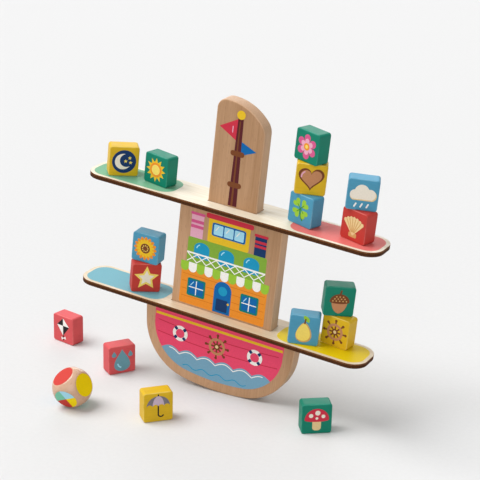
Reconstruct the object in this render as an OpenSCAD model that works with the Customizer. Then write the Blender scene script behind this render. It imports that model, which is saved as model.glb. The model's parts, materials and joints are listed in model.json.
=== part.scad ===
// Balancing boat game: a rocking boat cut from one board, two slotted decks,
// sixteen stacking blocks and a rounded die. Millimetres, +Z up.
// The origin is the point where the rocker touches the table.
// The boat stands along X with its front face toward -Y, and it leans
// to +X under the load of blocks that it carries.

/* [Boat board] */
// Thickness of the board that hull, cabin and mast are cut from
board_t = 15; // [12:0.5:18]
// Width of the hull at its top
hull_w = 160; // [130:1:195]
// Height of the hull from the table to the seat of the lower deck
hull_h = 75; // [62:1:90]
// Radius of the rocker under the hull
rocker_r = 206; // [180:1:247]
// Angle that the rocker reaches to each side before the bilge turns up
rocker_angle = 9; // [7:0.5:10]
// Outward slope of the hull's sides, in degrees
side_flare = 4.5; // [3:0.1:7]
// Width of the cabin that the lower deck slides over
cabin_w = 106; // [86:1:120]
// Height from the seat of the lower deck to the seat of the upper deck
cabin_h = 109; // [90:1:131]
// Width of the mast that the upper deck slides over
mast_w = 50; // [42:1:57]
// Height from the seat of the upper deck to the top of the mast
mast_h = 104; // [87:0.5:125]
// Radius of the mast's near shoulder
mast_shoulder_r = 10; // [8:0.5:12]
// Radius of the falling curve over the mast's top
mast_crown_r = 48; // [44:1:60]
// Radius of the mast's far corner
mast_corner_r = 17; // [12:0.5:20]

/* [Decks] */
// Length of each deck
deck_l = 300; // [250:1:360]
// Front to back depth of each deck
deck_d = 44; // [40:1:54]
// Thickness of the deck sheet
deck_t = 4.5; // [3.5:0.1:6]
// Radius of the decks' corners
deck_corner_r = 16; // [8:0.5:19]
// Clearance on each side between a deck's slot and the board
slot_gap = 0.3; // [0.2:0.05:0.6]

/* [Blocks] */
// Width of a block across its front
block_w = 28; // [23:0.5:33.6]
// Height of a block
block_h = 29; // [24:0.5:35]
// Front to back depth of a block
block_d = 15; // [12:0.5:18]
// Radius of the corners of a block's front
block_corner_r = 2.5; // [1:0.1:4]

/* [Die] */
// Distance between opposite flats of the die
die_size = 30; // [25:0.5:36]
// Diameter of the ball that rounds the die, as a multiple of its flats
die_ball = 1.25; // [1.18:0.01:1.35]

/* [Load] */
// Lean of the loaded boat at rest, in degrees
lean = 5; // [0:0.5:8]

/* [Hidden] */
$fn = 96;

left = -1;
right = 1;

// Round of the bilge: tangent to the rocker at its end and to the sloping side.
bilge_side = cos(side_flare) * (hull_w / 2 - rocker_r * sin(rocker_angle));
bilge_drop = sin(side_flare) * (hull_h - rocker_r * (1 - cos(rocker_angle)));
bilge_r = (bilge_side - bilge_drop) / (1 - sin(rocker_angle + side_flare));
bilge_x = (rocker_r - bilge_r) * sin(rocker_angle);
bilge_z = rocker_r - (rocker_r - bilge_r) * cos(rocker_angle);

// Crown and far corner of the mast: tangent to each other and to the mast's side.
crown_x = mast_shoulder_r - mast_w / 2;
crown_z = mast_h - mast_crown_r;
corner_x = mast_w / 2 - mast_corner_r;
corner_rise = sqrt(pow(mast_crown_r - mast_corner_r, 2) - pow(corner_x - crown_x, 2));
corner_z = crown_z + corner_rise;
crown_turn = atan2(corner_rise, corner_x - crown_x);

// How far a round's disc stands proud of its neighbours, so that arcs cross cleanly.
proud = 0.05;

// Tops of the decks, measured up the boat from the rocker.
lower_top = hull_h + deck_t;
upper_top = hull_h + cabin_h + deck_t;

// Room on a deck from the board's edge to the deck's end.
lower_bay = (deck_l - cabin_w) / 2;
upper_bay = (deck_l - mast_w) / 2;

// Rest height of the tilted die, which stands on the round between its flats.
die_r = die_size * die_ball / 2;

// Where the thrown die lies on the table, and how it is turned.
die_x = -115.8;
die_y = -100;
die_tilt = [28, -23.5, -4.7];

yellow = "#E0AE2C";
green = "#0F8472";
blue = "#4A98BD";
red = "#CB353D";
beech = "#C79A6B";
birch = "#EAD9B8";

// Waste outside a round between two directions, drawn about the round's centre.
module waste(r, from, to) {
  reach = 2 * r;
  mid = (from + to) / 2;
  difference() {
    polygon([
      [0, 0],
      [reach * cos(from), reach * sin(from)],
      [reach * cos(mid), reach * sin(mid)],
      [reach * cos(to), reach * sin(to)]
    ]);
    circle(r = r + proud);
  }
}

// Outline of the hull: a long rocker arc, two round bilges and sloping sides.
module hull_outline() {
  foot = hull_h + proud;
  foot_x = hull_w / 2 - foot * tan(side_flare);
  difference() {
    intersection() {
      translate([0, rocker_r]) circle(r = rocker_r);
      polygon([
        [-hull_w / 2, hull_h], [-foot_x, hull_h - foot],
        [foot_x, hull_h - foot], [hull_w / 2, hull_h]
      ]);
    }
    for (side = [0, 1])
      mirror([side, 0])
        translate([bilge_x, bilge_z])
          waste(bilge_r, rocker_angle - 90, -side_flare);
  }
}

// Outline of the mast: a tight near shoulder and a crown that falls to a round far corner.
module mast_outline() {
  difference() {
    intersection() {
      translate([-mast_w / 2, -cabin_h / 2]) square([mast_w, mast_h + cabin_h]);
      union() {
        translate([crown_x, crown_z]) circle(r = mast_crown_r);
        translate([-mast_w, -cabin_h]) square([2 * mast_w, cabin_h + crown_z]);
      }
    }
    translate([crown_x, mast_h - mast_shoulder_r]) waste(mast_shoulder_r, 90, 180);
    translate([corner_x, corner_z]) waste(mast_corner_r, 0, crown_turn);
  }
}

// A rectangle with round corners, centred.
module rounded_rectangle(w, h, r) {
  square([w - 2 * r, h], center = true);
  square([w, h - 2 * r], center = true);
  for (x = [-1, 1])
    for (y = [-1, 1])
      translate([x * (w / 2 - r), y * (h / 2 - r)]) circle(r = r);
}

// Tips whatever stands on the rocker to the side it leans.
module afloat() {
  translate([0, 0, rocker_r])
    rotate([0, lean, 0])
      translate([0, 0, -rocker_r])
        children();
}

// One deck: a thin plank with a slot that slides down over the board.
module deck(slot_w, seat_z) {
  translate([0, 0, seat_z])
    linear_extrude(deck_t)
      difference() {
        rounded_rectangle(deck_l, deck_d, deck_corner_r);
        square([slot_w + 2 * slot_gap, board_t + 2 * slot_gap], center = true);
      }
}

// One block, standing on its lower edge about the vertical through its middle.
module block() {
  translate([0, 0, block_h / 2])
    rotate([90, 0, 0])
      linear_extrude(block_d, center = true)
        rounded_rectangle(block_w, block_h, block_corner_r);
}

// Places on the decks: a share of the bay outward, a step forward or back, and a turn.
module on_upper(side, share, step, turn, tier = 0, shift = 0) {
  afloat()
    translate([side * (mast_w / 2 + share * upper_bay) + shift, step, upper_top + tier * block_h])
      rotate([0, 0, turn])
        block();
}

module on_lower(side, share, step, turn, tier = 0, shift = 0) {
  afloat()
    translate([side * (cabin_w / 2 + share * lower_bay) + shift, step, lower_top + tier * block_h])
      rotate([0, 0, turn])
        block();
}

// A block left standing on the table.
module on_table(x, y, turn) {
  translate([x, y, 0])
    rotate([0, 0, turn])
      block();
}

module boat_board() {
  color(beech)
    afloat()
      rotate([90, 0, 0])
        linear_extrude(board_t, center = true) {
          hull_outline();
          translate([-cabin_w / 2, hull_h / 2]) square([cabin_w, hull_h / 2 + cabin_h]);
          translate([0, hull_h + cabin_h]) mast_outline();
        }
}

module lower_deck() {
  color(birch) afloat() deck(cabin_w, hull_h);
}

module upper_deck() {
  color(birch) afloat() deck(mast_w, hull_h + cabin_h);
}

module block_moon() {
  color(yellow) on_upper(left, share = 0.763, step = -0.13 * block_d, turn = 38);
}

module block_sun() {
  color(green) on_upper(left, share = 0.445, step = 0.06 * block_d, turn = -11.5);
}

module block_clover() {
  color(blue) on_upper(right, share = 0.348, step = 0.15 * block_d, turn = -16.5);
}

module block_heart() {
  color(yellow) on_upper(right, share = 0.348, step = 0.39 * block_d, turn = 24, tier = 1, shift = -0.3);
}

module block_flower() {
  color(green) on_upper(right, share = 0.348, step = 0.42 * block_d, turn = -18, tier = 2, shift = -2.9);
}

module block_shell() {
  color(red) on_upper(right, share = 0.77, step = 0.02 * block_d, turn = -16);
}

module block_cloud() {
  color(blue) on_upper(right, share = 0.77, step = 0.22 * block_d, turn = 22, tier = 1, shift = -1.5);
}

module block_star() {
  color(red) on_lower(left, share = 0.336, step = -0.18 * block_d, turn = 37);
}

module block_sunflower() {
  color(blue) on_lower(left, share = 0.342, step = 0, turn = 4, tier = 1);
}

module block_pear() {
  color(blue) on_lower(right, share = 0.619, step = -0.47 * block_d, turn = 22, shift = -0.98 * block_w);
}

module block_wheel() {
  color(yellow) on_lower(right, share = 0.619, step = 0.6 * block_d, turn = -6);
}

module block_acorn() {
  color(green)
    on_lower(right, share = 0.619, step = 0.74 * block_d, turn = 31, tier = 1, shift = -0.19 * block_w);
}

module block_kite() {
  color(red) on_table(x = -201, y = 23, turn = -12);
}

module block_drop() {
  color(red) on_table(x = -119, y = -12, turn = 54);
}

module block_umbrella() {
  color(yellow) on_table(x = -35.5, y = -83.5, turn = 46);
}

module block_toadstool() {
  color(green) on_table(x = 101, y = -31.5, turn = 36);
}

module die() {
  color(beech)
    translate([die_x, die_y, die_r])
      rotate(die_tilt)
        intersection() {
          cube(die_size, center = true);
          sphere(r = die_r);
        }
}

boat_board();
lower_deck();
upper_deck();
block_moon();
block_sun();
block_clover();
block_heart();
block_flower();
block_shell();
block_cloud();
block_star();
block_sunflower();
block_pear();
block_wheel();
block_acorn();
block_kite();
block_drop();
block_umbrella();
block_toadstool();
die();
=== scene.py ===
# %% [markdown]
# # A wooden balancing boat game
# The toy is a boat cut from one beech board that rocks on its round keel. Two plywood decks slide down over
# it, and painted blocks are stacked on them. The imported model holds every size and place. This lesson reads
# them from there and adds what the eye sees: rounded edges, wood, paint, print and light.

# %% Load the frame
import json
from math import acos, atan2, cos, degrees, hypot, pi, radians, sin, sqrt, tan

import bmesh
import bpy
from mathutils import Matrix, Quaternion, Vector


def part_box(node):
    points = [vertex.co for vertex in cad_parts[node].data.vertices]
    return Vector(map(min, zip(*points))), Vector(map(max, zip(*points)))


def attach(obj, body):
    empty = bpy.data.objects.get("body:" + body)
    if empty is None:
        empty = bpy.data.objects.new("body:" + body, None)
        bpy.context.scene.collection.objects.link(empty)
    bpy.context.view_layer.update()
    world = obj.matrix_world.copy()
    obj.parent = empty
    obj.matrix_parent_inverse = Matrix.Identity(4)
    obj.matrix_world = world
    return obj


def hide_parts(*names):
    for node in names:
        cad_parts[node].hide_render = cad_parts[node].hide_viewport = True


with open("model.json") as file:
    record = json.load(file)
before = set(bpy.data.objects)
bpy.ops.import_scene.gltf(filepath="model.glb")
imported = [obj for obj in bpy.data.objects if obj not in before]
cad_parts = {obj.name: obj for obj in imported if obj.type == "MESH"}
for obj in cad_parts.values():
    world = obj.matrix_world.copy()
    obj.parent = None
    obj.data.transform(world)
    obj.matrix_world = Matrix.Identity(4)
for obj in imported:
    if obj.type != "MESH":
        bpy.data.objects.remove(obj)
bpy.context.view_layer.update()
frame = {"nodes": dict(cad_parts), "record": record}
MM = 0.001
scene = bpy.context.scene

# %% [markdown]
# ## The camera
# The toy is seen from the right and from above through a long lens, which keeps the far deck end nearly as
# large as the near one. A camera could be placed by eye, but a degree too much shows at once in the slope
# of the decks. So angles, distance and lens were found by lining up the deck corners, and a small shift
# puts the toy where it stands in the picture.

# %% Set the camera
# The picture's width in pixels. The lens and the aim are measured in the same pixels.
PICTURE = 480
AZIMUTH, ELEVATION, ROLL = radians(27.16), radians(20.56), radians(1.40)
LOOK_AT = Vector((0.9 * MM, 0, 146 * MM))
DISTANCE = 1469 * MM
FOCAL_PIXELS = 1595.6
AIM_PIXEL = (236.9, 249.1)

level = cos(ELEVATION)
backward = Vector((sin(AZIMUTH) * level, -cos(AZIMUTH) * level, sin(ELEVATION)))
camera = bpy.data.objects.new("camera", bpy.data.cameras.new("camera"))
camera.location = LOOK_AT + backward * DISTANCE
camera.rotation_mode = "QUATERNION"
camera.rotation_quaternion = (-backward).to_track_quat("-Z", "Y") @ Quaternion((0, 0, 1), ROLL)
camera.data.lens = camera.data.sensor_width * FOCAL_PIXELS / PICTURE
camera.data.shift_x = (PICTURE / 2 - AIM_PIXEL[0]) / PICTURE
camera.data.shift_y = (AIM_PIXEL[1] - PICTURE / 2) / PICTURE
scene.collection.objects.link(camera)
scene.camera = camera
print("lens", round(camera.data.lens, 1), "mm")

# %% [markdown]
# ## Adding shader nodes
# A finish is a small network of nodes, and wiring each one by hand takes many lines. One function adds a
# node: settings go on the node, and each input takes a value or an earlier node. A list follows the node's
# own order, so Map Range takes a value, the range it comes from and the range it goes to. Colours are
# written as they look on a screen and turned to the linear values that the renderer counts with.

# %% Write the node helper
def linear(colour):
    """A hex colour as the eye reads it, as linear red, green, blue and alpha."""
    parts = [int(colour[i:i + 2], 16) / 255 for i in (1, 3, 5)]
    return [c / 12.92 if c <= 0.04045 else ((c + 0.055) / 1.055) ** 2.4 for c in parts] + [1]


def add(tree, kind, inputs=(), **settings):
    """Adds a node. Its inputs are named, or listed in the order that the node shows them."""
    node = tree.nodes.new("ShaderNode" + kind)
    for name, value in settings.items():
        setattr(node, name, value)
    named = isinstance(inputs, dict)
    listed = [socket for socket in node.inputs if socket.enabled]
    for key, value in inputs.items() if named else enumerate(inputs):
        socket = node.inputs[key] if named else listed[key]
        if isinstance(value, bpy.types.Node):
            value = next(output for output in value.outputs if output.enabled)
        if isinstance(value, bpy.types.NodeSocket):
            tree.links.new(value, socket)
        else:
            socket.default_value = value
    return node


def new_material(name):
    """An empty material, its node tree and the piece's own coordinates in metres."""
    material = bpy.data.materials.new(name)
    material.use_nodes = True
    material.node_tree.nodes.clear()
    return material, material.node_tree, add(material.node_tree, "TexCoord").outputs["Object"]


print("mid grey sends back", round(linear("#808080")[0], 2), "of the light")

# %% [markdown]
# ## The coat on a surface
# Every finish ends alike: colour, gloss and relief go into one shader. Lacquer, paint and ink are plastics,
# so nothing is metallic and the IOR is near 1.5. Each finish could end on its own, but one function keeps
# them alike, so that only their numbers differ.

# %% End a material
# How strongly a coat mirrors, where 0.5 is the full gloss of its IOR.
FULL, SATIN, MATT = 0.5, 0.25, 0.12


def coat(tree, colour, roughness, ior, gloss, relief, strength, depth):
    """Joins a finish to the material's output, with a relief that is so many mm deep."""
    bump = add(tree, "Bump", {"Height": relief, "Strength": strength, "Distance": depth * MM})
    surface = add(tree, "BsdfPrincipled", {"Base Color": colour, "Roughness": roughness, "IOR": ior,
                                           "Specular IOR Level": gloss, "Normal": bump})
    add(tree, "OutputMaterial", {"Surface": surface})


print("coats mirror by", FULL, SATIN, MATT)

# %% [markdown]
# ## Beech
# Beech is a pale pinkish-brown wood with short dark flecks where its rays are cut. The board is planed,
# sanded and has a thin matt lacquer. A photograph of wood would stretch at the rim, so three patterns run
# through the piece, drawn out along the grain: growth bands, fibres and flecks. Real flecks are 0.4 mm wide
# and fibres finer still, too fine to show, so both are drawn wider. The tone can also deepen toward one
# side: this is painted shade, which darkens the board toward the right and toward the top, under the decks.

# %% Beech, sanded and lacquered
X_AXIS, Y_AXIS, Z_AXIS = 0, 1, 2
LACQUER_IOR = 1.5


def drawn_out(axis, width, length):
    """The scale of a pattern that is so many mm wide, and so many long along one axis of the piece."""
    return [1 / ((length if i == axis else width) * MM) for i in range(3)]


def beech(name, pale, dark, fleck, rough=0.46, painted_shade_toward=(0, 0, 0)):
    """Beech with its grain along the piece's own y axis.

    The last argument paints shade: its length tells how much the tone deepens over 100 mm.
    """
    material, tree, place = new_material(name)
    band_place, fibre_place, fleck_place = (
        add(tree, "Mapping", {"Vector": place, "Scale": drawn_out(Y_AXIS, width, length)})
        for width, length in ((11, 150), (1.3, 45), (2.2, 9)))
    bands = add(tree, "TexNoise", {"Vector": band_place, "Scale": 1, "Detail": 2, "Distortion": 0.6})
    fibres = add(tree, "TexNoise", {"Vector": fibre_place, "Scale": 1, "Detail": 3})
    flecks = add(tree, "TexVoronoi", {"Vector": fleck_place, "Scale": 1, "Randomness": 1})
    figure = add(tree, "Math", [bands, fibres], operation="ADD")
    # Painted shade: the tone deepens along the given direction, on the board toward its right and top.
    across = add(tree, "VectorMath", [place, painted_shade_toward], operation="DOT_PRODUCT")
    painted_shade = add(tree, "MapRange", [across, -50 * MM, 50 * MM, -0.5, 0.5])
    depth = add(tree, "Math", [figure, painted_shade], operation="ADD")
    tone = add(tree, "MapRange", [depth, 0.2, 1.8])
    wood = add(tree, "Mix", [tone, linear(pale), linear(dark)], data_type="RGBA")
    mark = add(tree, "MapRange", [flecks, 0.26, 0.12, 0, 0.3])
    colour = add(tree, "Mix", [mark, wood, linear(fleck)], data_type="RGBA")
    sheen = add(tree, "MapRange", [fibres, 0.3, 0.7, rough, rough + 0.16])
    coat(tree, colour, sheen, LACQUER_IOR, FULL, relief=fibres, strength=0.25, depth=0.08)
    return material


# The face of the board: warm tan with a dull sheen, with painted shade toward the right and the top.
board_beech = beech("beech_board_matt_lacquer", "#D0A580", "#A1774F", "#8F6747",
                    painted_shade_toward=(0.46, 0.2, 0))
# The sawn rim: a shade paler, because it takes less lacquer.
rim_beech = beech("beech_sawn_rim", "#D8B28F", "#B88E6B", "#A98261")
print("made", board_beech.name, "and", rim_beech.name)

# %% [markdown]
# ## Where a flat piece lies
# Board, decks and blocks are sawn from flat stock, so each is one outline and a thickness. To draw on one,
# its own plane is needed. It could be worked out from the angles at which the piece stands, but the CAD
# piece already shows it: its two largest flat faces look out of the plane, and the narrow ones look along
# it.

# %% Find the drawing plane
def flat_faces(node):
    """The flat faces of a CAD node, largest first, each as its direction and its triangles."""
    groups = {}
    for face in frame["nodes"][node].data.polygons:
        groups.setdefault(tuple(round(c, 2) for c in face.normal), []).append(face)
    by_area = sorted(groups.values(), key=lambda faces: -sum(face.area for face in faces))
    return [(faces[0].normal.copy(), faces) for faces in by_area]


def drawing_plane(node, facing, upward):
    """Where a flat piece lies: x to the right, y upward, z out of its large face, and its size in mm."""
    normals = [normal for normal, faces in flat_faces(node)[:6]]
    out = max(normals[:2], key=lambda normal: normal.dot(facing))
    up = max(normals[2:], key=lambda normal: normal.dot(upward))
    turn = Matrix((up.cross(out), up, out)).transposed()
    points = [turn.inverted() @ vertex.co for vertex in frame["nodes"][node].data.vertices]
    low = Vector(min(p[i] for p in points) for i in range(3))
    high = Vector(max(p[i] for p in points) for i in range(3))
    return Matrix.Translation(turn @ ((low + high) / 2)) @ turn.to_4x4(), (high - low) / MM


FRONT, UP, BACK = Vector((0, -1, 0)), Vector((0, 0, 1)), Vector((0, 1, 0))
boat_plane, boat_size = drawing_plane("boat_board", FRONT, UP)
print("boat board", [round(c, 1) for c in boat_size], "mm")

# %% [markdown]
# ## The outline of a flat piece
# The outline could be typed in again, but then it could drift from the model. Here it is read from the CAD
# piece: an edge that belongs to only one triangle of its large flat face lies on the outline.

# %% Read the outlines
def outlines(node, plane):
    """The closed outlines of the face that looks out of the drawing plane, in mm."""
    out, inside = plane.col[2].xyz, plane.inverted()
    corners = frame["nodes"][node].data.vertices
    edges = set()
    for face in next(faces for normal, faces in flat_faces(node) if normal.dot(out) > 0.999):
        ring = [tuple(round(c / MM, 3) for c in (inside @ corners[i].co).xy) for i in face.vertices]
        edges.update(zip(ring, ring[1:] + ring[:1]))
    ahead = {start: end for start, end in edges if (end, start) not in edges}
    loops = []
    while ahead:
        loop = [min(ahead)]
        while loop[-1] in ahead:
            loop.append(ahead.pop(loop[-1]))
        loops.append(loop[:-1])
    return loops


boat_loops = outlines("boat_board", boat_plane)
print("boat outline of", [len(loop) for loop in boat_loops], "points")

# %% [markdown]
# ## Sawing a sheet
# A flat curve with thickness and a round bevel does what the saw and the sanding belt do: it follows the
# outline, leaves a hole where there is an inner one, and rounds the edges over without changing the size. A
# bevel modifier could do the same, but a curve needs nothing more than the outline.

# %% Cut a sheet along its outlines
# Levels between the wall and the flat of a rounded edge, which so has one facet more.
EDGE_LEVELS = 2
# Corners closer than this, in mm, become one.
WELD = 0.001


def sheet_mesh(name, loops, thickness, edge_round=0.0):
    """A mesh of closed outlines in mm with a thickness, lying about its drawing plane."""
    drawing = bpy.data.curves.new(name, "CURVE")
    drawing.dimensions, drawing.fill_mode = "2D", "BOTH"
    drawing.extrude = (thickness / 2 - edge_round) * MM
    drawing.bevel_depth, drawing.bevel_resolution = edge_round * MM, EDGE_LEVELS
    drawing.offset = -edge_round * MM
    for loop in loops:
        spline = drawing.splines.new("POLY")
        spline.points.add(len(loop) - 1)
        spline.points.foreach_set("co", [c for x, y in loop for c in (x * MM, y * MM, 0, 1)])
        spline.use_cyclic_u = True
    pencil = bpy.data.objects.new(name, drawing)
    scene.collection.objects.link(pencil)
    mesh = bpy.data.meshes.new_from_object(pencil.evaluated_get(bpy.context.evaluated_depsgraph_get()))
    bpy.data.objects.remove(pencil)
    bpy.data.curves.remove(drawing)
    solid = bmesh.new()
    solid.from_mesh(mesh)
    bmesh.ops.remove_doubles(solid, verts=solid.verts, dist=WELD * MM)
    bmesh.ops.recalc_face_normals(solid, faces=solid.faces)
    solid.to_mesh(mesh)
    solid.free()
    return mesh


print("a rounded edge has", EDGE_LEVELS + 1, "facets")

# %% [markdown]
# ## Cut the boat
# Hull, deck house and mast are one board, sawn along one outline. Its edges are rounded by 1.5 mm so that
# it is kind to small hands, and the sawn rim is paler than the face. Weighted normals keep the large faces
# flat in the light. A vertex value marks the rounded edge, where paint rubs thin first and where the blocks
# carry a painted highlight. Every sawn piece takes the same steps, so they are a function.

# %% Boat board
BOARD_ROUND = 1.5
# A face belongs to the rim when less than this share of its direction points out of the plane.
RIM_TURN = 0.8
# How near, in mm, counts as lying on the flat or on the wall.
TOUCH = 0.01


def new_piece(name, mesh, plane, body, materials):
    """Puts a mesh on its drawing plane, gives it its materials and lets it ride on its body."""
    piece = bpy.data.objects.new(name, mesh)
    scene.collection.objects.link(piece)
    piece.matrix_world = plane
    for material in materials:
        mesh.materials.append(material)
    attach(piece, body)
    return piece


def saw(node, plane, size, edge_round, materials):
    """Stands in for a CAD piece of flat stock. A second material goes on the faces that turn to the rim."""
    mesh = sheet_mesh(node + "_sawn", outlines(node, plane), size.z, edge_round)
    edge_wear_and_highlight = mesh.attributes.new("edge_wear_and_highlight", "FLOAT", "POINT")
    flat, wall = size.z / 2 * MM, (size.z / 2 - edge_round) * MM
    for vertex, mark in zip(mesh.vertices, edge_wear_and_highlight.data):
        mark.value = float(wall + TOUCH * MM < abs(vertex.co.z) < flat - TOUCH * MM)
    for face in mesh.polygons:
        face.use_smooth = True
        face.material_index = int(len(materials) > 1 and abs(face.normal.z) < RIM_TURN)
    piece = new_piece(node + "_sawn", mesh, plane, node, materials)
    piece.modifiers.new("flat_faces_stay_flat", "WEIGHTED_NORMAL")
    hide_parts(node)
    return piece


boat = saw("boat_board", boat_plane, boat_size, BOARD_ROUND, [board_beech, rim_beech])
print(boat.name, len(boat.data.polygons), "faces")

# %% [markdown]
# ## Birch veneer
# The decks are three-ply birch with a satin lacquer. The peeled face veneer is cream, with a faint silky
# figure along the deck and fine pores. Peeled veneer shows no straight growth bands, so two streaky noises
# are enough. Real pores are 0.1 mm wide and would not show, so they are drawn as streaks of 1 mm. The lower
# deck's veneer is mixed a shade darker as painted shade, where the upper deck shades it.

# %% Birch veneer, satin lacquer
def birch_veneer(name, pale, dark):
    """The face of the plywood: cream streaks that shimmer a little."""
    material, tree, place = new_material(name)
    figure_place = add(tree, "Mapping", {"Vector": place, "Scale": drawn_out(X_AXIS, 5, 90)})
    pore_place = add(tree, "Mapping", {"Vector": place, "Scale": drawn_out(X_AXIS, 1, 25)})
    figure = add(tree, "TexNoise", {"Vector": figure_place, "Scale": 1, "Detail": 4, "Distortion": 0.8})
    pores = add(tree, "TexNoise", {"Vector": pore_place, "Scale": 1, "Detail": 2})
    both = add(tree, "Math", [figure, pores], operation="ADD")
    tone = add(tree, "MapRange", [both, 0.75, 1.3])
    colour = add(tree, "Mix", [tone, linear(pale), linear(dark)], data_type="RGBA")
    sheen = add(tree, "MapRange", [pores, 0.3, 0.7, 0.42, 0.56])
    coat(tree, colour, sheen, LACQUER_IOR, FULL, relief=pores, strength=0.2, depth=0.05)
    return material


# The lower deck's veneer is darker than the upper one: painted shade under the upper deck.
veneers = {"lower_deck": birch_veneer("lower_deck_birch_veneer_painted_shade", "#E3D2B8", "#D3BD9B"),
           "upper_deck": birch_veneer("upper_deck_birch_veneer", "#EAE1CF", "#DDD0B6")}
print("made", [veneer.name for veneer in veneers.values()])

# %% [markdown]
# ## Charred edge
# The decks are cut by laser, which chars the edge to dark brown and leaves fine upright streaks. The middle
# ply is seen end on and burns darker, and the underside, where the smoke leaves, is darkest. The plies
# could be three thin solids, but bands of colour by height give the same picture. The streaks are really
# 0.2 mm wide, and are drawn at 1.2 mm to show.

# %% Charred plywood edge
CHAR_ROUGH = 0.7


def charred_edge(name, outer_ply, middle_ply, ash, thickness):
    """The laser-cut edge of three plies: dark and almost without gloss."""
    material, tree, place = new_material(name)
    height = add(tree, "SeparateXYZ", [place]).outputs["Z"]
    from_middle = add(tree, "Math", [height], operation="ABSOLUTE")
    ply = add(tree, "MapRange", [from_middle, thickness / 6 * MM, thickness / 5 * MM])
    bands = add(tree, "Mix", [ply, linear(middle_ply), linear(outer_ply)], data_type="RGBA")
    under = add(tree, "MapRange", [height, thickness / 4 * MM, -thickness / 2 * MM, 0, 0.85])
    plies = add(tree, "Mix", [under, bands, linear(ash)], data_type="RGBA")
    streak_place = add(tree, "Mapping", {"Vector": place, "Scale": drawn_out(Z_AXIS, 1.2, 8)})
    streaks = add(tree, "TexNoise", {"Vector": streak_place, "Scale": 1, "Detail": 3})
    burn = add(tree, "MapRange", [streaks, 0.45, 0.75, 0, 0.6])
    colour = add(tree, "Mix", [burn, plies, linear(ash)], data_type="RGBA")
    coat(tree, colour, CHAR_ROUGH, LACQUER_IOR, MATT, relief=streaks, strength=0.3, depth=0.1)
    return material


deck_planes = {}
for deck in veneers:
    deck_planes[deck], deck_size = drawing_plane(deck, UP, BACK)
char_edge = charred_edge("birch_ply_charred_edge", "#7A4A26", "#543116", "#260F05", deck_size.z)
print("made", char_edge.name, "for decks of", [round(c, 1) for c in deck_size], "mm")

# %% [markdown]
# ## Cut the decks
# Each deck is a plank of plywood with a slot that slides down over the boat. A laser leaves a crisp edge,
# so only a quarter of a millimetre is eased. The dark edge could be a strip of its own, but a second
# material on the same mesh leaves no seam: faces that look up or down are veneer, and the rest is charred,
# in the slot as well. The decks are alike, so one loop cuts both.

# %% Lower and upper deck
DECK_ROUND = 0.25
for deck, veneer in veneers.items():
    piece = saw(deck, deck_planes[deck], deck_size, DECK_ROUND, [veneer, char_edge])
    print(piece.name, len(piece.data.polygons), "faces")

# %% [markdown]
# ## Paint
# The blocks are beech, sprayed with opaque satin paint. Fibres still show as a slight ripple in the gloss,
# drawn coarser than real ones so that it can be seen. On the rounded edges the film is thinner and rubbed a
# little paler, and the same paler edge is a painted highlight where the edges catch the light. A plain
# colour would look like plastic, so tone, gloss and relief all follow the fibres.

# %% Acrylic paint on beech
PAINT_IOR = 1.46


def block_paint(name, colour, wear_and_highlight_colour, gloss=SATIN):
    """Opaque paint with a faint grain under it, and edges rubbed paler with a painted highlight."""
    material, tree, place = new_material(name)
    fibre_place = add(tree, "Mapping", {"Vector": place, "Scale": drawn_out(X_AXIS, 1.1, 14)})
    fibres = add(tree, "TexNoise", {"Vector": fibre_place, "Scale": 1, "Detail": 3})
    patches = add(tree, "TexNoise", {"Vector": place, "Scale": 1 / (9 * MM), "Detail": 2})
    both = add(tree, "Math", [fibres, patches], operation="ADD")
    shade = add(tree, "MapRange", [both, 0.7, 1.3, 0.93, 1.05])
    film = add(tree, "VectorMath", [linear(colour)[:3], shade], operation="SCALE")
    # Painted highlight and wear: the rounded edges mix toward the paler colour.
    edge = add(tree, "Attribute", attribute_name="edge_wear_and_highlight").outputs["Fac"]
    wear_and_highlight_patches = add(tree, "MapRange", [patches, 0.35, 0.65, 0.1, 0.5])
    edge_wear_and_highlight_mask = add(tree, "Math", [edge, wear_and_highlight_patches], operation="MULTIPLY")
    painted = add(tree, "Mix", [edge_wear_and_highlight_mask, film, linear(wear_and_highlight_colour)], data_type="RGBA")
    sheen = add(tree, "MapRange", [both, 0.7, 1.3, 0.42, 0.56])
    coat(tree, painted, sheen, PAINT_IOR, gloss, relief=fibres, strength=0.2, depth=0.06)
    return material


# Four satin colours: an even film with a soft gloss, as bright as toy paint is.
PAINTS = {
    "paint_yellow": block_paint("satin_paint_yellow", "#DEB51E", "#EFDC8A"),
    "paint_green": block_paint("satin_paint_green", "#037E66", "#4FA590"),
    "paint_blue": block_paint("satin_paint_blue", "#4D99BA", "#93C0D0"),
    "paint_red": block_paint("satin_paint_red", "#C13B33", "#DC8078"),
}
# The red mixed paler for the two red blocks on the table: painted light, with less gloss.
red_with_painted_light = block_paint("matt_paint_red_with_painted_light", "#DD5B5F", "#EC908C", MATT)
print("made", [paint.name for paint in PAINTS.values()], "and", red_with_painted_light.name)

# %% [markdown]
# ## Saw and paint the blocks
# The sixteen blocks are what the players stack, and all are the same size. They could be copies of one
# mesh, but each stands in for a CAD piece of its own. Their place, turn and paint come from the frame, so
# one loop makes them all. Two of the red blocks, on the table, have a paler red: painted light.

# %% Blocks
BLOCK_ROUND = 0.9
# The two red blocks on the table, which take the paler red: painted light.
RED_BLOCKS_WITH_PAINTED_LIGHT = ("block_kite", "block_drop")
slot_of = {part["node"]: part["material_slot"] for part in frame["record"]["subparts"]}
block_planes = {}
for block in (name for name in frame["nodes"] if name.startswith("block_")):
    block_planes[block], block_size = drawing_plane(block, FRONT, UP)
    paint = red_with_painted_light if block in RED_BLOCKS_WITH_PAINTED_LIGHT else PAINTS[slot_of[block]]
    saw(block, block_planes[block], block_size, BLOCK_ROUND, [paint])
print(len(block_planes), "blocks of", [round(c, 1) for c in block_size], "mm")

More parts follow.
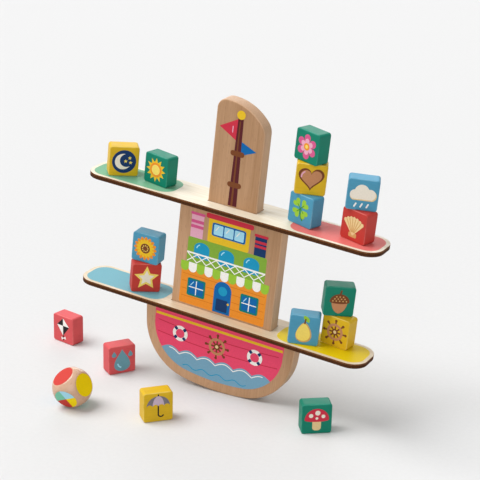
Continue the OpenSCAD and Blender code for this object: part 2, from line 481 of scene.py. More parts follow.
# %% [markdown]
# ## Printing ink
# The pictures are screen printed in flat opaque inks with a dull gloss. The wood under them leaves a
# ripple, drawn at 1.6 mm so that it shows. The colours could be stored in the mesh under one material, but
# a material for each ink keeps its name and its colour together. Each is mixed when it is first used.

# %% Screen printing ink
INK_IOR = 1.5
INKS = {
    "navy": "#17396A", "royal": "#0C68AE", "aqua": "#1E9AC6", "sky": "#7AA9C4", "lagoon": "#72ADBB",
    "rain": "#6FA5B6", "ice": "#ACE6FC", "teal": "#0F7F70", "jade": "#7ED0B2", "mint": "#74AF8E",
    "moss": "#3F8F3C", "grass": "#86AF3E", "leaf": "#9CCB3E", "lemon": "#F8DE6E", "lemon_yellow": "#FFE200",
    # sun is mixed lighter than the pad's real ink: painted light on the lower deck's pad, in the upper deck's
    # shade.
    "sun": "#E6C80C", "gold": "#EEC42C", "orange": "#EE9430", "amber": "#D97A1E", "vermilion": "#CC4038",
    "scarlet": "#D0354A", "coral": "#F04E72", "peach": "#E0736E", "rose": "#D85C90", "blush": "#EBAFC6",
    "lilac": "#CDB8CB", "sand": "#EBCF98", "wheat": "#D3A868", "tan": "#C68B62", "brown": "#7A4628",
    "bark": "#5A2329", "black": "#232022", "grey": "#7F7A82", "cream": "#F4ECDD", "white": "#FBFAF6",
}


def ink(name):
    """The ink of that name, mixed once: flat colour with the wood's ripple in its gloss."""
    if "ink_" + name in bpy.data.materials:
        return bpy.data.materials["ink_" + name]
    material, tree, place = new_material("ink_" + name)
    ripple = add(tree, "TexNoise", {"Vector": place, "Scale": 1 / (1.6 * MM), "Detail": 3})
    shade = add(tree, "MapRange", [ripple, 0.3, 0.7, 0.95, 1.03])
    colour = add(tree, "VectorMath", [linear(INKS[name])[:3], shade], operation="SCALE")
    sheen = add(tree, "MapRange", [ripple, 0.3, 0.7, 0.44, 0.58])
    coat(tree, colour, sheen, INK_IOR, MATT, relief=ripple, strength=0.12, depth=0.05)
    return material


print(len(INKS), "inks to mix")

# %% [markdown]
# ## Printing a picture
# A picture could be an image on the face, but that would have no edge of its own. Here each shape is a thin
# film that reaches down to the face it is printed on. A real film is some 0.02 mm thick, and this one three
# times that, so that its rim catches the light. A print is a list of layers from the bottom up, each with
# its inks and their outlines. Shapes of one layer differ in height by a hair, because two that share a face
# would show black specks.

# %% Print layers of ink
FILM, HAIR = 0.06, 0.002


def ink_print(name, layers, plane, body):
    """Prints layers of ink outlines in mm as one piece. A shape with a hole has two outlines."""
    inks = sorted({colour for layer in layers for colour in layer})
    films = bmesh.new()
    for level, layer in enumerate(layers, start=1):
        shapes = [(colour, shape) for colour, drawn in layer.items() for shape in drawn]
        for order, (colour, shape) in enumerate(shapes):
            height = level * FILM + order * HAIR
            film = sheet_mesh(name, shape if isinstance(shape[0], list) else [shape], height)
            film.transform(Matrix.Translation((0, 0, height * MM / 2)))
            film.polygons.foreach_set("material_index", [inks.index(colour)] * len(film.polygons))
            films.from_mesh(film)
            bpy.data.meshes.remove(film)
    mesh = bpy.data.meshes.new(name)
    films.to_mesh(mesh)
    films.free()
    return new_piece(name, mesh, plane, body, [ink(colour) for colour in inks])


print("each layer is", FILM, "mm of ink")

# %% [markdown]
# ## Landing pads on the decks
# Each deck end has a coloured pad with a margin of bare veneer, so that a player sees where a block may go.
# It could be a mask in the veneer's material, but a film of ink has a crisp edge at any distance. A pad is
# a rectangle with round corners, so arcs come first.

# %% Pads
PAD_START, PAD_MARGIN, PAD_ROUND = 60, 3.6, 13


def arc(r, start=0, end=360, cx=0, cy=0, ry=None, steps=40):
    """Points along a round or oval arc, between two angles in degrees."""
    count = steps if abs(end - start) == 360 else steps + 1
    turns = [radians(start + (end - start) * i / steps) for i in range(count)]
    return [(cx + r * cos(turn), cy + (ry or r) * sin(turn)) for turn in turns]


def panel(left, bottom, right, top, r=0.0):
    """A rectangle, with round corners if they have a radius."""
    if not r:
        return [(left, bottom), (right, bottom), (right, top), (left, top)]
    corners = [(right - r, top - r, 0), (left + r, top - r, 90), (left + r, bottom + r, 180),
               (right - r, bottom + r, 270)]
    return [p for x, y, start in corners for p in arc(r, start, start + 90, x, y, steps=8)]


pad_inks = {"upper_deck": ("mint", "peach"), "lower_deck": ("lagoon", "sun")}
pad_end, pad_side = deck_size.x / 2 - PAD_MARGIN, deck_size.y / 2 - PAD_MARGIN
deck_top = Matrix.Translation((0, 0, deck_size.z / 2 * MM))
for deck, (left_ink, right_ink) in pad_inks.items():
    for colour, left, right in ((left_ink, -pad_end, -PAD_START), (right_ink, PAD_START, pad_end)):
        pad = [{colour: [panel(left, -pad_side, right, pad_side, PAD_ROUND)]}]
        ink_print(f"pad_{colour}_{deck}", pad, deck_planes[deck] @ deck_top, deck)
print("pads from", PAD_START, "to", round(pad_end, 1), "mm")

# %% [markdown]
# ## Shapes to draw with
# The pictures are built from a few plain shapes. They could be drawn by hand as curves, but a formula is
# shorter and even all round. Each shape is a list of points, so a star, a heart or a ring of petals is one
# short call.

# %% Stars, petals, hearts and drops
def moved(points, dx=0, dy=0, turn=0, scale=1):
    """A shape turned about its zero point, scaled and moved."""
    c, s = scale * cos(radians(turn)), scale * sin(radians(turn))
    return [(c * x - s * y + dx, s * x + c * y + dy) for x, y in points]


def around(count, radius, start=90):
    """Places round a circle."""
    return arc(radius, start, start + 360, steps=count)


def full_turn(steps):
    """Angles once round, in radians."""
    return [2 * pi * i / steps for i in range(steps)]


def star_outline(points, outer, inner):
    """A star with one point up."""
    tips, notches = around(points, outer), around(points, inner, 90 + 180 / points)
    return [p for pair in zip(tips, notches) for p in pair]


def petals(count, inner, outer, turn=0):
    """A ring of round petals as one outline."""
    ring = []
    for t in full_turn(16 * count):
        r = inner + (outer - inner) * sqrt(abs(cos(count * t / 2)))
        ring.append((r * cos(t), r * sin(t)))
    return moved(ring, turn=turn)


def heart_outline(width):
    """A heart as wide as that, about its middle."""
    scale = width / 32
    return [(scale * 16 * sin(t) ** 3,
             scale * (13 * cos(t) - 5 * cos(2 * t) - 2 * cos(3 * t) - cos(4 * t) + 2.5))
            for t in full_turn(60)]


def raindrop(width, height):
    """A drop with its point up, about its middle."""
    return [(width * 0.77 * sin(t) * sin(t / 2) ** 1.5, height / 2 * cos(t))
            for t in full_turn(48)]


print("a five-pointed star has", len(star_outline(5, 10, 4)), "corners")

# %% [markdown]
# ## Drawn lines
# A pen line is a shape too: two edges at half its width from the path, and a half circle at each end. A
# bevelled curve could draw it, but a flat outline prints like any other shape.

# %% Strokes
def stroke(points, width):
    """A drawn line of that width with round ends."""
    left, right = [], []
    for i, (x, y) in enumerate(points):
        (x0, y0), (x1, y1) = points[max(i - 1, 0)], points[min(i + 1, len(points) - 1)]
        length = hypot(x1 - x0, y1 - y0)
        nx, ny = (y0 - y1) / length * width / 2, (x1 - x0) / length * width / 2
        left.append((x + nx, y + ny))
        right.append((x - nx, y - ny))
    (x0, y0), (x1, y1) = points[0], points[-1]
    first = degrees(atan2(left[0][1] - y0, left[0][0] - x0))
    last = degrees(atan2(right[-1][1] - y1, right[-1][0] - x1))
    end_cap = arc(width / 2, last + 180, last, x1, y1, steps=8)[1:-1]
    start_cap = arc(width / 2, first + 180, first, x0, y0, steps=8)[1:-1]
    return left + end_cap + right[::-1] + start_cap


print("a straight stroke has", len(stroke([(0, 0), (10, 0)], 1)), "points")

# %% [markdown]
# ## Sky pictures for the blocks
# Each block carries one plain everyday picture over about two thirds of its face, in inks that suit its
# paint. A picture is a function named for its block, so its shapes keep to themselves. Sizes are in mm from
# the middle of the face. A crescent is two arcs that meet, a sun is a star under two discs, and a cloud is
# three arcs.

# %% Moon, sun and cloud
block_front = Matrix.Translation((0, 0, block_size.z / 2 * MM))


def print_blocks(*pictures):
    """Prints each picture on the front of the block that has its name."""
    for picture in pictures:
        block = "block_" + picture.__name__
        ink_print("print_" + picture.__name__, picture(), block_planes[block] @ block_front, block)
        print("printed", block)


def moon():
    """A crescent and stars on a night-blue disc."""
    r, bite, apart = 7.7, 6.4, 3.5
    cut = degrees(acos((r * r + apart * apart - bite * bite) / (2 * r * apart)))
    x, y = arc(r, cut, cut + 1)[0]
    back = degrees(atan2(y, x - apart))
    crescent = arc(r, cut, 360 - cut) + arc(bite, 360 - back, back, apart)[1:-1]
    stars = [moved(star_outline(5, 1.9, 0.85), dx, dy) for dx, dy in ((5.2, 3.6), (1.5, 0.4), (6.2, -0.9))]
    return [{"navy": [arc(11.3)]}, {"cream": [moved(crescent, -0.9, 0, 20)], "lemon": stars}]


def sun():
    """A round sun with pointed rays."""
    return [{"gold": [star_outline(12, 11.6, 7.4)]}, {"orange": [arc(7)]}, {"lemon": [arc(4.9)]}]


def cloud():
    """A cloud of three heaps with its shaded foot, over three streaks of rain."""
    heap = arc(4.6, 250, 95, -7, -1.2) + arc(6.5, 165, 38, -1.1, 2) + arc(5.2, 105, -70, 6.6, -0.6)
    foot, crown = moved(heap, 0.5, 0.4), moved(heap, 0, 1.3, scale=0.97)
    streaks = [stroke([(x, -8.2), (x - 1.3, -11)], 1.4) for x in (-5, 0.4, 5.8)]
    return [{"sand": [foot], "white": streaks}, {"cream": [crown]}]


print_blocks(moon, sun, cloud)

# %% [markdown]
# ## Rainy pictures
# A drop and an umbrella. The drop could be a circle with a point set on it, but one curve has no kink where
# the two would meet. The umbrella's edge is a row of scallops, and its middle panel spans the inner two, so
# each scallop is an arc of its own.

# %% Drop and umbrella
def drop():
    """A large raindrop with two small ones."""
    large = moved(raindrop(15.5, 23), 0, -0.4)
    small = [moved(raindrop(4.4, 6.2), dx, dy) for dx, dy in ((-8.4, 6.6), (8.6, 5.4))]
    shine = stroke(arc(4.6, 190, 250, 0, -3.4, steps=10), 1.5)
    return [{"rain": [large] + small}, {"ice": [shine]}]


def umbrella():
    """An open umbrella with a crooked handle."""
    gore, rim, crown = 5.5, 0.7, 10.4
    scallops = [arc(gore / 2, 180, 0, gore * (i - 1.5), rim, ry=2.2, steps=10) for i in range(4)]
    canopy = arc(2 * gore, 0, 180, 0, rim, ry=crown) + sum(scallops, [])
    middle = arc(gore, 0, 180, 0, rim, ry=crown) + scallops[1] + scallops[2]
    handle = [(0, 12.3), (0, -6.4)] + arc(2.5, 180, 330, 2.5, -7.1, steps=12)
    return [{"black": [stroke(handle, 1.3)]}, {"grey": [canopy]}, {"lilac": [middle]}]


print_blocks(drop, umbrella)

# %% [markdown]
# ## Garden pictures
# A clover, a flower and a sunflower. Petals could be drawn one by one, but a ring of them is one wave round
# a circle. Flowers are such rings on top of each other, largest first. Four hearts with their points
# together are a clover, which saves drawing a leaf.

# %% Clover, flower and sunflower
def clover():
    """Four heart leaves on a stem."""
    rise, turns = 1.6, (45, 135, 225, 315)
    leaves = [moved(heart_outline(9.2), x, y + rise, turn - 90)
              for (x, y), turn in zip(around(4, 5.5, 45), turns)]
    veins = [stroke([(0.15 * x, rise + 0.15 * y), (x, rise + y)], 0.7) for x, y in around(4, 5, 45)]
    stem = stroke(arc(16, 178, 218, 15.6, 1, steps=12), 1.6)
    return [{"moss": [stem]}, {"leaf": leaves}, {"moss": veins}]


def flower():
    """A six-petalled flower."""
    return [{"rose": [petals(6, 5.3, 11.5, 30)]}, {"blush": [petals(6, 3.7, 7.4, 30)]},
            {"orange": [arc(3.4)]}, {"lemon": [arc(1.7)]}]


def sunflower():
    """Two rings of petals round a seeded middle."""
    seeds = [arc(0.6, cx=x, cy=y, steps=12) for x, y in around(9, 2.9)]
    return [{"orange": [petals(16, 8, 11.8)]}, {"gold": [petals(16, 6.4, 9.4, 11)]}, {"brown": [arc(4.9)]},
            {"lemon": seeds}]


print_blocks(clover, flower, sunflower)

# %% [markdown]
# ## Orchard and woodland pictures
# A pear, an acorn and a toadstool. The pear and the nut are circles pulled out of round by a second wave,
# which is smoother than joined arcs. Cup and cap are the upper half of one oval and the lower half of a
# flatter one.

# %% Pear, acorn and toadstool
def pear():
    """A pear with a stalk and a leaf."""
    body = [(9.1 * cos(t) * (0.76 - 0.27 * sin(t)), 9.8 * sin(t) - 1.9) for t in full_turn(60)]
    cheek = [(0.88 * x - 0.5, 0.88 * y) for x, y in body]
    leaf = arc(6, 200, 270, 4.1, 14.4, steps=10) + arc(6, 20, 90, -1.5, 8.8, steps=10)
    stalk = stroke([(0, 7.2), (0.5, 11.4)], 1.3)
    return [{"wheat": [body], "leaf": [leaf]}, {"lemon": [cheek], "brown": [stalk]}]


def acorn():
    """An acorn in its scaly cup."""
    half_turn = [radians(180 + 3 * i) for i in range(61)]
    nut = [(7.2 * cos(t), 11.6 * sin(t) * (1 - 0.1 * abs(cos(t)))) for t in half_turn]
    cup = arc(9, 0, 180, ry=7.6) + arc(9, 180, 360, ry=2)[1:-1]
    scales = []
    for row in range(3):
        places = [-6.2 + 3.1 * i + 1.55 * (row % 2) for i in range(5 - row % 2)]
        scales += [arc(0.7, cx=x, cy=0.7 + 2.1 * row, steps=10) for x in places if abs(x) < 7 - 1.4 * row]
    stalk = stroke([(0, 7), (0.8, 10.8)], 1.6)
    return [{"tan": [nut]}, {"brown": [cup, stalk]}, {"wheat": scales}]


def toadstool():
    """A spotted cap on a pale stem."""
    cap = arc(11.2, 0, 180, 0, -0.6, ry=10.9) + arc(11.2, 180, 360, 0, -0.6, ry=2.1)[1:-1]
    spots = [arc(r, cx=x, cy=y, steps=20)
             for x, y, r in ((-5.4, 3.5, 2), (0.7, 6.1, 2.4), (5.9, 2.6, 1.8), (0, 0.8, 1.3))]
    return [{"sand": [panel(-4, -11.2, 4, 0.6, 3)]}, {"scarlet": [cap]}, {"cream": spots}]


print_blocks(pear, acorn, toadstool)

# %% [markdown]
# ## Sea and play pictures
# A shell, a ship's wheel, a heart, a star and a kite. The shell is drawn by angle and distance from its
# hinge, which is how its ribs grow. A disc in the block's colour could stand for the hole in the wheel, but
# it would never quite match. So the rim is one outline inside another, and the block's own paint shows
# through.

# %% Shell, wheel, heart, star and kite
def shell():
    """A scallop shell with its ribs."""
    ribs, reach, spread, hinge, steps = 7, 17, radians(44), -8.5, 112

    def at(share, r):
        """A point at a share of the way across the fan, and so far from the hinge."""
        turn = spread * (2 * share - 1)
        return r * sin(turn), r * cos(turn) + hinge

    waves = [reach * (0.93 + 0.07 * abs(sin(pi * ribs * i / steps))) for i in range(steps + 1)]
    fan = [at(i / steps, r) for i, r in enumerate(waves)] + [(0, hinge - 0.7)]
    lines = [stroke([at(i / ribs, r) for r in (3, reach - 2)], 0.8) for i in range(1, ribs)]
    return [{"wheat": [panel(-4.4, -10.6, 4.4, -6.4, 1.2)]}, {"sand": [fan]}, {"wheat": lines}]


def wheel():
    """A ship's wheel with eight spokes."""
    spokes = [stroke([(0.2 * x, 0.2 * y), (x, y)], 1.5) for x, y in around(8, 10.8)]
    knobs = [arc(1.3, cx=x, cy=y, steps=16) for x, y in around(8, 11.1)]
    rim = [arc(8.3), arc(5.8)[::-1]]
    return [{"brown": spokes + knobs}, {"tan": [rim]}, {"brown": [arc(3)]}, {"sand": [arc(1.6)]}]


def heart():
    """A heart with a dark border and a shine."""
    shine = stroke(arc(5, 120, 185, -3.7, 2.6, steps=10), 1.3)
    return [{"brown": [heart_outline(23)]}, {"tan": [moved(heart_outline(19), 0, 0.1)]}, {"blush": [shine]}]


def star():
    """A five-pointed star with a paler middle."""
    return [{"lemon": [star_outline(5, 12.4, 5.9)]}, {"cream": [star_outline(5, 8, 3.8)]}]


def kite():
    """A kite of four panels with a bow on its tail."""
    top, right, foot, left, middle = (0, 12), (8.4, 4), (0, -6.6), (-8.4, 4), (0, 4)
    tail = stroke([(1.1 * sin(1.3 * i), -6.6 - 0.7 * i) for i in range(8)], 1)
    bow = moved([(0, 0.3), (3, 1.7), (3, -1.7), (0, -0.3), (-3, -1.7), (-3, 1.7)], 0.6, -9.4, 15)
    return [{"black": [tail, [top, middle, left], [right, middle, foot]],
             "white": [[top, right, middle], [left, middle, foot]]}, {"white": [bow]}]


print_blocks(shell, wheel, heart, star, kite)

# %% [markdown]
# ## The field on the hull
# The front of the board is printed as a little steamer. Red planks and blue waves fill the hull inside a
# margin of bare wood. The field could be an arc of its own, but the sawn outline moved inward keeps the
# margin even. The picture is measured in mm from the keel, with zero at the board's middle.

# %% Hull field
MARGIN, HULL_TOP, WATER_TOP = 10, 68, 29
# How far the level top ends outside the last point of the outline, in mm.
FLARE = 0.6
keel_plane = boat_plane @ Matrix.Translation((0, -boat_size.y / 2 * MM, boat_size.z / 2 * MM))


def hull_inset(top):
    """The hull's outline moved inward and cut off at a height, from left to right under the keel."""
    loop = [(x, y + boat_size.y / 2) for x, y in boat_loops[0]]
    start = loop.index(min(loop, key=lambda p: p[0]))
    loop = loop[start:] + loop[:start]
    inset = []
    for i, (x, y) in enumerate(loop):
        (x0, y0), (x1, y1) = loop[i - 1], loop[(i + 1) % len(loop)]
        length = hypot(x1 - x0, y1 - y0)
        inset.append((x - (y1 - y0) / length * MARGIN, y + (x1 - x0) / length * MARGIN))
    return [p for p, (x, y) in zip(inset, loop) if p[1] < top and y < top]


field = hull_inset(HULL_TOP)
half_top = field[-1][0] + FLARE
red_field = [(-half_top, HULL_TOP)] + field + [(half_top, HULL_TOP)]
water = hull_inset(WATER_TOP)
print("red field of", len(red_field), "points, half width", round(half_top, 1), "mm")

# %% [markdown]
# ## Waves and planks
# The waves could be drawn by hand, but as arches of one sine curve their number and their height are one
# value each. A line of foam runs under their crests. The plank seams bow up at both ends, as they do on a
# real hull, and a gold strake runs along the top.

# %% Print the hull
CRESTS, WAVE, STEPS = 6, 4.2, 96
LINE = 0.8
# How far the foam lies under the crests and the heights of the swell and the seams, in mm.
FOAM_DROP, SWELL_HEIGHT, SEAM_HEIGHTS = 2.2, 16.5, (41, 53)
# How fast a seam rises away from the middle, in mm for one step of 4 mm squared.
SEAM_BOW = 0.012
right_shore, waterline = water[-1][0], water[0][1]
span = right_shore - water[0][0]
crest_line = [(right_shore - span * i / STEPS, waterline + WAVE * abs(sin(pi * CRESTS * i / STEPS)))
              for i in range(1, STEPS)]
foam = stroke([(x, y - FOAM_DROP) for x, y in crest_line[6:-6]], 0.9)
swell = stroke([(-34 + 68 * i / 48, SWELL_HEIGHT + 1.6 * sin(pi * i / 6)) for i in range(49)], LINE)
seams = [stroke([(4 * i, y + i ** 2 * SEAM_BOW) for i in range(-16, 17)], LINE) for y in SEAM_HEIGHTS]
strake = panel(-half_top + 1, 61.5, half_top - 1, 64)
hull_layers = [{"coral": [red_field]},
               {"scarlet": seams, "gold": [strake], "sky": [water + crest_line]},
               {"white": [foam], "aqua": [swell]}]
ink_print("print_hull", hull_layers, keel_plane, "boat_board")
print("hull with", CRESTS, "waves")

# %% [markdown]
# ## Wheel and life rings
# A ship's wheel sits in the middle of the hull, between two life rings. It could be drawn again, but the
# block's picture, scaled and moved, is the same wheel. These films start above the planks, as if from a
# second pass through the press.

# %% Print the wheel and the rings
def shifted(layers, scale, dx, dy):
    """A picture scaled and moved as a whole."""
    def shift(shape):
        """One outline, or each outline of a shape with a hole."""
        if isinstance(shape[0], list):
            return [shift(loop) for loop in shape]
        return moved(shape, dx, dy, scale=scale)

    return [{colour: [shift(shape) for shape in shapes] for colour, shapes in layer.items()}
            for layer in layers]


def life_ring(cx, cy, r):
    """A life ring with four bands, as two layers."""
    ring = [arc(r, cx=cx, cy=cy), arc(r * 0.58, cx=cx, cy=cy)[::-1]]
    bands = [moved(panel(-1.5, r * 0.6, 1.5, r * 1.02, 0.3), cx, cy, turn) for turn in (45, 135, 225, 315)]
    return [{"white": [ring]}, {"navy": bands}]


hull_layer_top = keel_plane @ Matrix.Translation((0, 0, 2 * FILM * MM))
ink_print("print_hull_wheel", shifted(wheel(), 1.05, 0, 46.5), hull_layer_top, "boat_board")
for ring_side, ring_x in (("left", -40), ("right", 40)):
    ink_print("print_ring_" + ring_side, life_ring(ring_x, 48, 8), hull_layer_top, "boat_board")
print("wheel and two life rings on the hull")

# %% [markdown]
# ## The saloon
# The deck houses rise from the lower deck in three storeys: an orange saloon with square windows, a green
# promenade and a yellow wheelhouse between two funnels. They could be carved in relief, but on the toy they
# are flat print. They are measured from the top of that deck, so the print stays clear of it if its height
# changes.

# %% Print the saloon
def height_of(node):
    """How far the top of a deck lies above the keel, along the board, in mm."""
    return (keel_plane.inverted() @ deck_planes[node] @ deck_top).translation.y / MM


def windows(centres, w, h, border=1.8, bar=0.45):
    """Square windows: their frames, their panes, the bars that cross them and their glints."""
    half_w, half_h = w / 2 - border, h / 2 - border
    frames = [panel(x - w / 2, y - h / 2, x + w / 2, y + h / 2, border) for x, y in centres]
    panes = [panel(x - half_w, y - half_h, x + half_w, y + half_h, 0.8) for x, y in centres]
    bars = [panel(x - bar, y - half_h, x + bar, y + half_h) for x, y in centres]
    bars += [panel(x - half_w, y - bar, x + half_w, y + bar) for x, y in centres]
    glints = [stroke([(x - w / 4 - 1, y + 1.9), (x - w / 4 + 1.6, y + h / 4 + 1)], LINE)
              for x, y in centres]
    return frames, panes, bars, glints


saloon_plane = keel_plane @ Matrix.Translation((0, height_of("lower_deck") * MM, 0))
boards = [stroke([(-43, y), (43, y)], 0.6) for y in (9, 16.5, 24, 31.5)]
frames, panes, bars, glints = windows([(-28, 19.5), (28, 19.5)], 19, 18)
door = [panel(-9, 1.9, 9, 25), arc(9, 0, 180, 0, 25)]
saloon = [{"orange": [panel(-45, 1.5, 45, 36.5, 2)]},
          {"amber": boards},
          {"teal": frames, "royal": door},
          {"royal": panes, "aqua": [arc(4.6, cx=0, cy=24.5)], "navy": [panel(-6, 4, 6, 16, 1)]},
          {"white": bars, "ice": glints, "gold": [arc(1.1, cx=6.6, cy=13, steps=16)]}]
ink_print("print_saloon", saloon, saloon_plane, "boat_board")
print("saloon from", round(height_of("lower_deck"), 2), "mm above the keel")

# %% [markdown]
# ## The promenade
# Above the saloon hangs a scalloped awning in two colours. Behind a rail of crossed bars stand three arched
# windows. Each shape could be placed on its own, but every row is a loop over its places, so a change of
# spacing is a change of one number.

# %% Print the promenade
SCALLOP, SCALLOPS = 4.2, 11
ARCHES = (-26, 0, 26)
BAYS = range(-40, 40, 10)
awning = []
for i in range(SCALLOPS):
    x = SCALLOP * (2 * i + 1 - SCALLOPS)
    awning.append([(x - SCALLOP, 44)] + arc(SCALLOP, 180, 360, x, 38.5, steps=10) + [(x + SCALLOP, 44)])
rail = [stroke([(x, 45), (x + 10, 53)], 0.9) for x in BAYS]
rail += [stroke([(x + 10, 45), (x, 53)], 0.9) for x in BAYS]
rail += [panel(-41, 53, 41, 54.6)]
arches = [panel(x - 8, 50, x + 8, 60) for x in ARCHES] + [arc(8, 0, 180, x, 60, ry=6) for x in ARCHES]
arch_glints = [stroke(arc(5.4, 120, 165, x, 58.6, steps=8), 1) for x in ARCHES]
promenade = [{"grass": [panel(-41, 43.6, 41, 69.5, 2)]},
             {"aqua": arches, "leaf": awning[::2], "white": awning[1::2]},
             {"white": rail, "ice": arch_glints}]
ink_print("print_promenade", promenade, saloon_plane, "boat_board")
print("awning of", len(awning), "scallops")

# %% [markdown]
# ## The wheelhouse
# The yellow wheelhouse has a red roof and a row of three panes. A pink and a navy funnel stand beside it.
# Each could be drawn on its own, but they differ only in place and size, so one function draws both.

# %% Print the wheelhouse and the funnels
ROOF_DECK = 69.5
PANES = (-10.8, 0, 10.8)


def funnel(cx, w, h):
    """A funnel, and its lip with its two bands."""
    left, right, top = cx - w / 2, cx + w / 2, ROOF_DECK + h
    lip = panel(left - 1, top - 2.6, right + 1, top, 0.8)
    bands = [panel(left, ROOF_DECK + h * low, right, ROOF_DECK + h * high)
             for low, high in ((0.38, 0.5), (0.58, 0.7))]
    return panel(left, ROOF_DECK, right, top - 1), [lip] + bands


pink_pipe, pink_trim = funnel(-33, 13, 25)
navy_pipe, navy_trim = funnel(33, 12, 21)
roof = panel(-24.5, 92.5, 24.5, 97.5, 1.8)
wheelhouse = [{"blush": [pink_pipe], "navy": [navy_pipe], "gold": [panel(-21.5, ROOF_DECK, 21.5, 95, 2)]},
              {"rose": pink_trim, "scarlet": navy_trim + [roof],
               "royal": [panel(-17.5, 76.5, 17.5, 89.5, 2)]},
              {"ice": [panel(x - 4.8, 78, x + 4.8, 88, 1) for x in PANES]},
              {"white": [stroke([(x - 2.6, 82.5), (x, 86.2)], 0.9) for x in PANES]}]
ink_print("print_wheelhouse", wheelhouse, saloon_plane, "boat_board")
print("two funnels with", len(pink_trim), "trims each")

# %% [markdown]
# ## The mast
# On the mast a dark pole with a ball top carries two pennants, measured from the top of the upper deck. It
# could be a turned rod, but on this toy it is print: it tapers, and a browner streak down its left side
# makes it look round.

# %% Print the mast
POLE_TOP = 86
mast_plane = keel_plane @ Matrix.Translation((0, height_of("upper_deck") * MM, 0))
pole = [(-4.4, 1.2), (4.4, 1.2), (2.6, POLE_TOP), (-2.6, POLE_TOP)]
streak = [(-1.6, 1.4), (0.4, 1.4), (0.2, 82), (-0.9, 82)]
collars = [panel(-7, y, 7, y + 5, 2.4) for y in (19, 49)]
pennants = {"scarlet": [[(-2, 84), (-20.5, 73.5), (-2, 63)]], "royal": [[(2, 64), (18.5, 57), (2, 50)]]}
mast = [pennants,
        {"bark": [pole], "blush": [stroke([(-7, 76), (-7, 70.5)], 0.9)]},
        {"brown": collars + [streak], "gold": [arc(4.2, cx=0, cy=88)]}]
ink_print("print_mast", mast, mast_plane, "boat_board")
print("pole up to", POLE_TOP, "mm above the upper deck")

# %% [markdown]
# ## The die
# A wooden die for small children is a cube ground to a ball at its corners. A cube and a ball could be cut
# with each other, but that leaves a sharp rim. Here, in every direction, a soft minimum of flat and ball
# rounds the rim between them. The die's lacquer is glossier than the board's.

# %% Shape the die
def die_mesh(half, ball, crispness=60, cuts=44):
    """A cube of that half width inside a ball, both in mm, with the rim between them eased."""
    solid = bmesh.new()
    bmesh.ops.create_cube(solid, size=2)
    bmesh.ops.subdivide_edges(solid, edges=solid.edges, cuts=cuts, use_grid_fill=True)
    for vertex in solid.verts:
        direction = Vector(tan(c * pi / 4) for c in vertex.co).normalized()
        flat = half / max(abs(c) for c in direction)
        vertex.co = direction * (flat ** -crispness + ball ** -crispness) ** (-1 / crispness) * MM
    mesh = bpy.data.meshes.new("die_turned")
    solid.to_mesh(mesh)
    solid.free()
    mesh.polygons.foreach_set("use_smooth", [True] * len(mesh.polygons))
    return mesh


die_sides = [normal for normal, faces in flat_faces("die")[:6]]
die_right = max(die_sides, key=lambda normal: normal.x)
die_up = max(die_sides, key=lambda normal: normal.z)
die_turn = Matrix((die_right, die_up.cross(die_right), die_up)).transposed()
die_low, die_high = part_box("die")
die_centre = (die_low + die_high) / 2
die_corners = [vertex.co - die_centre for vertex in frame["nodes"]["die"].data.vertices]
die_ball = max(corner.length for corner in die_corners) / MM
die_half = max(corner.dot(die_up) for corner in die_corners) / MM
die_plane = Matrix.Translation(die_centre) @ die_turn.to_4x4()
# Pale polished beech: the gloss shows as a bright spot on the round corners.
die_beech = beech("beech_die_gloss_lacquer", "#DFB99C", "#C4987B", "#AC8266", rough=0.12)
die = new_piece("die_turned", die_mesh(die_half, die_ball), die_plane, "die", [die_beech])
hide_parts("die")
print("die half", round(die_half, 2), "ball", round(die_ball, 2))

# %% [markdown]
# ## The die's colours
# Each face has a printed disc: one whole colour, or four quarters for a free choice. The discs could be
# painted by the die's material, but films of ink match the other prints. One turn of the die's plane brings
# it to each face.

# %% Print the die
DISC = 10.8
quarters = {colour: [[(0, 0)] + arc(DISC, start, start + 90, steps=14)]
            for colour, start in (("jade", 90), ("ice", 0), ("lemon_yellow", 270), ("vermilion", 180))}
whole = [arc(DISC)]
DIE_FACES = {"right": ("Y", 90, {"lemon_yellow": whole}), "top": ("Y", 0, {"vermilion": whole}),
             "front": ("X", 90, quarters), "left": ("Y", -90, {"aqua": whole}),
             "under": ("Y", 180, {"jade": whole}), "back": ("X", -90, quarters)}
for face_name, (axis, tilt, disc) in DIE_FACES.items():
    face_turn = Matrix.Rotation(radians(tilt), 4, axis) @ Matrix.Translation((0, 0, die_half * MM))
    ink_print("die_" + face_name, [disc], die_plane @ face_turn, "die")
print(len(DIE_FACES), "discs on the die")

# %% [markdown]
# ## The table
# The toy stands on a wide sheet of matt studio paper. White paper would throw too much light up on the toy,
# so Light Path gives it two tones: a pale one where the camera looks, and a greyer one for light that
# bounces. Real tooth is too fine to show, so it is drawn as a faint mottle of 4 mm.

# %% Floor
# Half the floor's width in metres, and its depth under the toy in mm, so that the two share no face.
FLOOR_HALF = 8
FLOOR_DROP = 0.05


def looked_at(tree):
    """One where the camera looks, straight or by way of a gloss, and zero where light only bounces."""
    ray = add(tree, "LightPath").outputs
    by_gloss = add(tree, "Math", [ray["Is Glossy Ray"], ray["Is Transmission Ray"]], operation="MAXIMUM")
    return add(tree, "Math", [ray["Is Camera Ray"], by_gloss], operation="MAXIMUM")


# Studio paper: flat and pale, without any gloss to speak of.
paper, paper_tree, paper_place = new_material("studio_paper_matt")
tooth = add(paper_tree, "TexNoise", {"Vector": paper_place, "Scale": 1 / (4 * MM), "Detail": 2})
tint = add(paper_tree, "MapRange", [tooth, 0, 1, 0.69, 0.73])
shown = add(paper_tree, "Mix", [looked_at(paper_tree), linear("#C6C4C0"), tint], data_type="RGBA")
matt_sheet = add(paper_tree, "BsdfPrincipled", {"Base Color": shown, "Roughness": 0.9})
add(paper_tree, "OutputMaterial", {"Surface": matt_sheet})

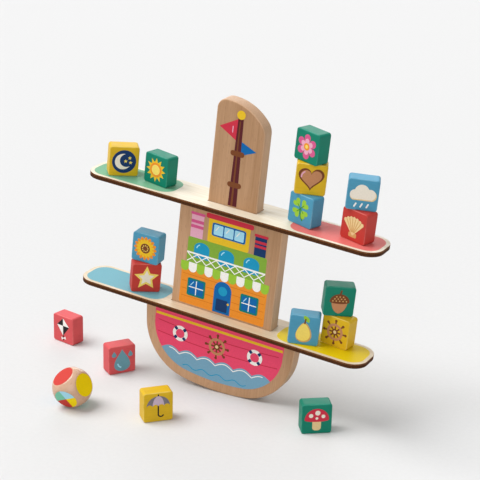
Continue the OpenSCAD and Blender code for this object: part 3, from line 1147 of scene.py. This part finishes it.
floor_mesh = bpy.data.meshes.new("floor")
floor_corners = [(x, y, 0) for x, y in panel(-FLOOR_HALF, -FLOOR_HALF, FLOOR_HALF, FLOOR_HALF)]
floor_mesh.from_pydata(floor_corners, [], [(0, 1, 2, 3)])
floor_mesh.materials.append(paper)
floor = bpy.data.objects.new("floor", floor_mesh)
floor.location.z = -FLOOR_DROP * MM
scene.collection.objects.link(floor)
print("floor", 2 * FLOOR_HALF, "m wide")

# %% [markdown]
# ## Lamps
# Three far lamps with wide soft faces light the toy. The strongest stands on the left and gives the blocks
# a bright left side and a shaded right one. A weaker one in front fills the printed faces, and one behind
# brightens the decks. Area lamps would fade with distance, and sun lamps light the whole toy evenly.

# %% Light
# Each lamp's strength, its width in degrees and the direction in which it stands.
LAMPS = {
    "key_left": (2.7, 45, (-0.50, -0.18, 0.85)),
    "fill_right": (0.72, 45, (0.40, -0.86, 0.30)),
    "card_behind": (0.55, 36, (-0.40, 0.83, 0.39)),
}
for lamp_name, (energy, softness, stands) in LAMPS.items():
    lamp = bpy.data.lights.new(lamp_name, "SUN")
    lamp.energy, lamp.angle = energy, radians(softness)
    holder = bpy.data.objects.new(lamp_name, lamp)
    holder.rotation_euler = Vector(stands).to_track_quat("Z", "Y").to_euler()
    scene.collection.objects.link(holder)
print("lamps", list(LAMPS))

# %% [markdown]
# ## Sky
# An even white sky softens the shadows. A photographed one would show in the gloss of the lacquer. As with
# the floor, Light Path shows it paler to the camera than the light it gives, so that the background is pale
# and meets the floor without a line.

# %% Sky and view
SKY_LIGHT, SKY_SHOWN = 0.38, 0.92
sky = bpy.data.worlds.new("even_sky")
sky.use_nodes = True
sky.node_tree.nodes.clear()
brightness = add(sky.node_tree, "MapRange", [looked_at(sky.node_tree), 0, 1, SKY_LIGHT, SKY_SHOWN])
white_sky = add(sky.node_tree, "Background", {"Color": (1, 1, 1, 1), "Strength": brightness})
add(sky.node_tree, "OutputWorld", {"Surface": white_sky})
scene.world = sky
scene.view_settings.view_transform = "Standard"
print("sky gives", SKY_LIGHT, "and shows", SKY_SHOWN)
